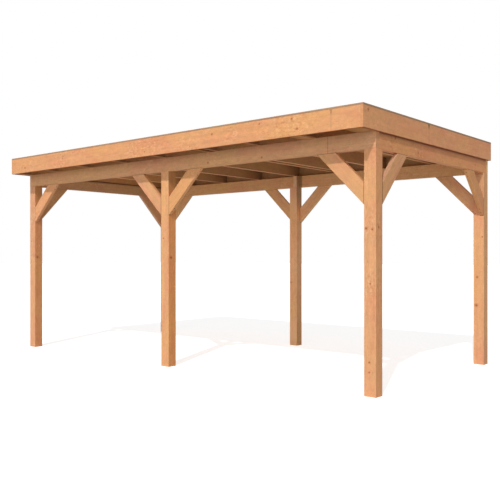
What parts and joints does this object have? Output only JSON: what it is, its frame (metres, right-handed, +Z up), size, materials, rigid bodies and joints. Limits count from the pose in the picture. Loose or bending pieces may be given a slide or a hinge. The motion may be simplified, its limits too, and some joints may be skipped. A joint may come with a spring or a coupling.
{
  "type": "flat-roof timber veranda",
  "caption": "Free-standing open veranda of square timber posts, ring beams and knee braces, with rafters, a boarded flat roof and fascia boards.",
  "frame": {"origin": "on the ground under the middle of the roof, at the bottom centre of the bounding box", "axes": "+X to the right along the long side, -Y towards the open front where the roof overhangs, +Z up"},
  "size_m": [5.391, 2.996, 2.599],
  "materials": {
    "post_timber": "planed unpainted Douglas fir, reddish brown, fine upright grain and small knots",
    "beam_timber": "planed unpainted Douglas fir, grain along the beam",
    "brace_timber": "planed unpainted Douglas fir, grain along the brace",
    "rafter_timber": "sawn unpainted Douglas fir, darker inside the roof",
    "roof_boards": "sawn unpainted softwood boards",
    "rubber_membrane": "matt black rubber roofing sheet",
    "fascia_boards": "planed unpainted Douglas fir boards",
    "cap_strips": "planed unpainted Douglas fir strips",
    "steel_screws": "zinc-plated flat-head timber screws"
  },
  "bodies": {
    "root": {"post_front_left": "post_timber", "post_front_middle": "post_timber", "post_front_right": "post_timber", "post_back_left": "post_timber", "post_back_middle": "post_timber", "post_back_right": "post_timber", "beam_front": "beam_timber", "beam_back": "beam_timber", "beam_left": "beam_timber", "beam_right": "beam_timber", "brace_front_left": "brace_timber", "brace_front_middle_left": "brace_timber", "brace_front_middle_right": "brace_timber", "brace_front_right": "brace_timber", "brace_back_left": "brace_timber", "brace_back_middle_left": "brace_timber", "brace_back_middle_right": "brace_timber", "brace_back_right": "brace_timber", "brace_left_front": "brace_timber", "brace_left_back": "brace_timber", "brace_right_front": "brace_timber", "brace_right_back": "brace_timber", "rafter_1": "rafter_timber", "rafter_2": "rafter_timber", "rafter_3": "rafter_timber", "rafter_4": "rafter_timber", "rafter_5": "rafter_timber", "rafter_6": "rafter_timber", "rafter_7": "rafter_timber", "rafter_8": "rafter_timber", "rafter_9": "rafter_timber", "rafter_twin": "rafter_timber", "roof_deck": "roof_boards", "roof_membrane": "rubber_membrane", "fascia_front": "fascia_boards", "fascia_back": "fascia_boards", "fascia_left": "fascia_boards", "fascia_right": "fascia_boards", "cap_front": "cap_strips", "cap_back": "cap_strips", "cap_left": "cap_strips", "cap_right": "cap_strips"}
  },
  "joints": []
}
